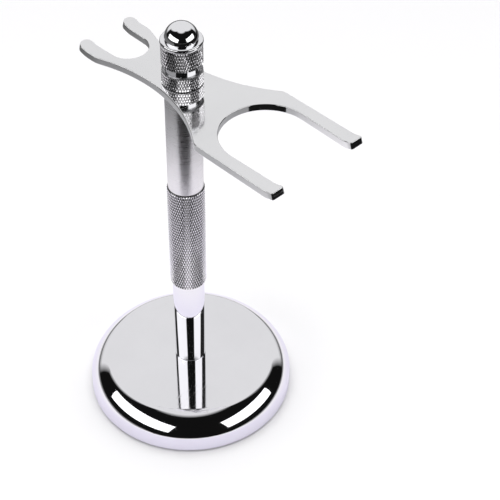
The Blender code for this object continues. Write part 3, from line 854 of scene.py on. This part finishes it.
# ============================================================ studio and view
CAMERA_AZIMUTH = radians(48.4766)  # where the camera stands, from -Y towards +X
CAMERA_REACH = 353.029 * MM
CAMERA_HEIGHT = 387.6144 * MM
CAMERA_PITCH = radians(42.7859)
CAMERA_YAW = radians(-3.3278)
CAMERA_ROLL = radians(0.5756)
CAMERA_LENS = 105.257             # millimetres, on a 36 mm sensor
TOWARDS_CAMERA = Vector((sin(CAMERA_AZIMUTH), -cos(CAMERA_AZIMUTH), 0))
TO_THE_RIGHT = Vector((cos(CAMERA_AZIMUTH), sin(CAMERA_AZIMUTH), 0))
SENSOR_WIDTH = 36                 # millimetres

# name, azimuth and elevation in degrees, distance, width, height, radiance, seen in chrome
SOFTBOXES = (
    ("left_softbox", -58.5, 26, 0.70, 0.95, 0.30, 1.9, True),
    ("right_softbox", 63, 25, 0.70, 0.74, 0.29, 1.9, True),
    ("overhead_panel", 0, 89.9, 1.3, 1.5, 1.5, 1.7, False),
)
# corners of the black cards, towards the camera and to the right of the post
FLAGS = (
    ("front_flag", ((0.080, -0.050), (1.7, -1.9), (1.7, 2.1), (0.080, 0.050))),
    ("right_flag", ((-1.2, 0.42), (0.36, 0.42), (1.7, 1.9), (-1.2, 2.4))),
)
FLAG_HEIGHT = 0.5 * MM

# the table as it is mirrored in chrome: tones, and the distances from the post between which each
# gives way to the next; the near tone is a lavender painted contact shadow, and further out the
# tones grow greyer and darker than the table looks to the camera
TABLE_NEAR_PAINTED_SHADOW = (0.86, 0.83, 0.94)
TABLE_FADES = (
    (0.045, 0.085, (0.92, 0.90, 0.93)),
    (0.105, 0.145, (0.40, 0.40, 0.41)),
    (0.165, 0.22, (0.13, 0.13, 0.13)),
)
TABLE_SIZE = 8

# the surroundings: a dark side faces the stand from the camera's side, under an edge
# that comes down as it goes round; angles in degrees, azimuths from the camera's side
STUDIO_DARK = (0.006, 0.006, 0.006)
STUDIO_PALE = (0.84, 0.84, 0.845)
BACKDROP = (0.93, 0.93, 0.94)       # what the camera itself sees
EDGE_AZIMUTHS = (radians(70), radians(122))
EDGE_ELEVATIONS = (radians(64), radians(28))
EDGE_SOFTNESS = (radians(-3), radians(5))
PALE_ASIDE = (radians(120), radians(128))
HORIZON = (radians(1), radians(7))
HORIZON_AZIMUTHS = (radians(135), radians(160))
HORIZON_SHADE = 0.5
# the panels and their dark edges, which show only in chrome seen in other chrome
PANEL_ELEVATIONS = (28, 57)
LEFT_PANEL = (-108, -26)
RIGHT_PANEL = (31, 88)
DARK_EDGES = (84, 140)
PANEL_TONE = (1.25, 1.25, 1.25)
DARK_EDGE_TONE = (0.02, 0.02, 0.02)
SECOND_BOUNCE = 1.5


def studio_direction(azimuth, elevation):
    """A direction from the stand, measured from the camera's side."""
    level = cos(azimuth) * TOWARDS_CAMERA + sin(azimuth) * TO_THE_RIGHT
    return cos(elevation) * level + sin(elevation) * Vector((0, 0, 1))


def make_camera():
    """Long lens, looking down at the stand from its brush side."""
    camera = bpy.data.objects.new("camera", bpy.data.cameras.new("camera"))
    bpy.context.collection.objects.link(camera)
    place = CAMERA_REACH * TOWARDS_CAMERA + Vector((0, 0, CAMERA_HEIGHT))
    heading = Matrix.Rotation(CAMERA_AZIMUTH + CAMERA_YAW, 4, "Z")
    tilt = Matrix.Rotation(pi / 2 - CAMERA_PITCH, 4, "X")
    roll = Matrix.Rotation(CAMERA_ROLL, 4, "Z")
    camera.matrix_world = Matrix.Translation(place) @ heading @ tilt @ roll
    camera.data.sensor_width = SENSOR_WIDTH
    camera.data.lens = CAMERA_LENS
    camera.data.clip_start = 0.01
    bpy.context.scene.camera = camera


def make_softbox(name, azimuth, elevation, distance, width, height, brightness, seen):
    """Rectangular light facing the stand; brightness is its own radiance."""
    light = bpy.data.lights.new(name, "AREA")
    light.shape = "RECTANGLE"
    light.size = width
    light.size_y = height
    light.energy = brightness * pi * width * height
    box = bpy.data.objects.new(name, light)
    bpy.context.collection.objects.link(box)
    place = distance * studio_direction(radians(azimuth), radians(elevation))
    facing = place.to_track_quat("Z", "Y").to_matrix().to_4x4()
    box.matrix_world = Matrix.Translation(place) @ facing
    box.visible_camera = False
    box.visible_glossy = seen


def make_dark_flag(name, corners):
    """Black card lying just off the floor, seen only in reflections.

    Corners are (towards the camera, to the right) of the stand's axis.
    """
    start_new()
    bpy.ops.mesh.primitive_plane_add(size=1)
    flag = bpy.context.active_object
    flag.name = name
    order = sorted(flag.data.vertices, key=lambda corner: atan2(corner.co.y, corner.co.x))
    for corner, (ahead, aside) in zip(order, corners):
        corner.co = ahead * TOWARDS_CAMERA + aside * TO_THE_RIGHT + Vector((0, 0, FLAG_HEIGHT))
    flag.visible_camera = False
    flag.visible_diffuse = False
    flag.visible_shadow = False
    flag.visible_transmission = False
    made, tree, shader = new_material("black_flag", 0.0, Roughness=0.9)
    shader.inputs["Specular IOR Level"].default_value = 0.0
    felt = place_group(tree, GRAIN, Grain_Scale=300.0, Lump_Scale=20.0)
    tone = blend_colours(tree, felt.outputs["Lumps"],
                         (0.004, 0.004, 0.004), (0.010, 0.010, 0.010))
    tree.links.new(tone, shader.inputs["Base Color"])
    flag.data.materials.append(made)


def make_floor():
    """Wide pale table top, very slightly uneven in tone. Chrome mirrors it with a lavender painted
    contact shadow near the post, and greyer further out than it looks to the camera."""
    start_new()
    bpy.ops.mesh.primitive_plane_add(size=TABLE_SIZE, location=(0, 0, 0))
    floor = bpy.context.active_object
    floor.name = "floor"
    made, tree, shader = new_material("pale_table", 0.0)
    shader.inputs["Specular IOR Level"].default_value = 0.1
    cloud = place_group(tree, GRAIN, Grain_Scale=60.0, Lump_Scale=6.0)
    white = blend_colours(tree, cloud.outputs["Lumps"],
                          (0.93, 0.925, 0.935), (0.94, 0.935, 0.945))
    coords = add_node(tree, "ShaderNodeTexCoord")
    reach = add_node(tree, "ShaderNodeVectorMath", operation="LENGTH")
    tree.links.new(coords.outputs["Object"], reach.inputs[0])
    mirrored_with_painted_shadow = TABLE_NEAR_PAINTED_SHADOW
    for low, high, tone in TABLE_FADES:
        further = ranged(tree, reach.outputs["Value"], low, high, 0.0, 1.0)
        mirrored_with_painted_shadow = blend_colours(tree, further, mirrored_with_painted_shadow, tone)
    rays = add_node(tree, "ShaderNodeLightPath")
    # painted shadow: chrome sees the table darker near the post, and greyer further out, than the
    # camera does
    tone = blend_colours(tree, rays.outputs["Is Glossy Ray"], white, mirrored_with_painted_shadow)
    tree.links.new(tone, shader.inputs["Base Color"])
    rough = ranged(tree, cloud.outputs["Grain"], 0.3, 0.7, 0.75, 0.9)
    tree.links.new(rough, shader.inputs["Roughness"])
    floor.data.materials.append(made)


def make_surroundings():
    """Pale studio with a dark side behind the camera, between two softboxes."""
    world = bpy.data.worlds.new("studio")
    bpy.context.scene.world = world
    world.use_nodes = True
    tree = world.node_tree
    background = tree.nodes["Background"]
    coords = add_node(tree, "ShaderNodeTexCoord")

    def along(direction):
        node = add_node(tree, "ShaderNodeVectorMath", operation="DOT_PRODUCT")
        tree.links.new(coords.outputs["Generated"], node.inputs[0])
        node.inputs[1].default_value = direction
        return node.outputs["Value"]

    heading = reckon(tree, "ARCTAN2", along(TO_THE_RIGHT), along(TOWARDS_CAMERA))
    azimuth = reckon(tree, "ABSOLUTE", heading)
    elevation = reckon(tree, "ARCSINE", along((0, 0, 1)))
    edge = ranged(tree, azimuth, *EDGE_AZIMUTHS, *EDGE_ELEVATIONS)
    above = reckon(tree, "SUBTRACT", elevation, edge)
    pale_above = ranged(tree, above, *EDGE_SOFTNESS, 0.0, 1.0)
    pale_aside = ranged(tree, azimuth, *PALE_ASIDE, 0.0, 1.0)
    pale = reckon(tree, "MAXIMUM", pale_above, pale_aside)
    low_down = ranged(tree, elevation, *HORIZON, 1.0, 0.0)
    aside = ranged(tree, azimuth, *HORIZON_AZIMUTHS, HORIZON_SHADE, 0.0)
    dimmed = reckon(tree, "MULTIPLY", low_down, aside)
    pale = reckon(tree, "MULTIPLY", pale, reckon(tree, "SUBTRACT", 1.0, dimmed))
    studio = blend_colours(tree, pale, STUDIO_DARK, STUDIO_PALE)
    rays = add_node(tree, "ShaderNodeLightPath")

    def within(value, low, high, soft):
        rising = ranged(tree, value, radians(low - soft), radians(low + soft), 0.0, 1.0)
        falling = ranged(tree, value, radians(high - soft), radians(high + soft), 1.0, 0.0)
        return reckon(tree, "MULTIPLY", rising, falling)

    # only in chrome seen in other chrome, such as the post in the base: two bright
    # panels with dark edges, above the softboxes
    between = reckon(tree, "MULTIPLY", within(elevation, *PANEL_ELEVATIONS, 1),
                   reckon(tree, "GREATER_THAN", rays.outputs["Glossy Depth"], SECOND_BOUNCE))
    dark_edges = reckon(tree, "MULTIPLY", within(azimuth, *DARK_EDGES, 3), between)
    studio = blend_colours(tree, dark_edges, studio, DARK_EDGE_TONE)
    panels = reckon(tree, "ADD", within(heading, *LEFT_PANEL, 2), within(heading, *RIGHT_PANEL, 2))
    panels = reckon(tree, "MULTIPLY", panels, between)
    studio = blend_colours(tree, panels, studio, PANEL_TONE)
    shown = blend_colours(tree, rays.outputs["Is Camera Ray"], studio, BACKDROP)
    tree.links.new(shown, background.inputs["Color"])


def main():
    make_base_shell()
    make_foot_disc()
    make_post_bar("lower_bar", "lower_post", LOWER_POST_RADIUS, LOWER_POST_Z, LOWER_POST_TOP_Z,
                  POST_CHROME)
    make_grip()
    make_post_bar("upper_bar", "upper_post", UPPER_POST_RADIUS, UPPER_POST_Z, UPPER_POST_TOP_Z,
                  SATIN_CHROME)
    make_plate()
    make_washer("lower_washer", "swivel_washer", "stand")
    make_washer("upper_washer", "knob_washer", "clamp_washer")
    make_threaded_stud()
    make_knob_core()
    make_knob_band("knob_lower_band", KNOB_Z, LOWER_BAND)
    make_knob_band("knob_upper_band", KNOB_Z + LOWER_BAND + GROOVE_HEIGHT, UPPER_BAND)
    for node, finish in (("base_weight", CAST_WEIGHT), ("base_screw", ZINC_STEEL),
                         ("base_flat_washer", ZINC_STEEL), ("base_lock_washer", ZINC_STEEL),
                         ("lower_stud", ZINC_STEEL), ("upper_stud", ZINC_STEEL)):
        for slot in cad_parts[node].material_slots:
            slot.material = finish

    make_floor()
    for flag in FLAGS:
        make_dark_flag(*flag)
    make_surroundings()
    for softbox in SOFTBOXES:
        make_softbox(*softbox)
    make_camera()
    bpy.context.scene.view_settings.view_transform = "Standard"


main()
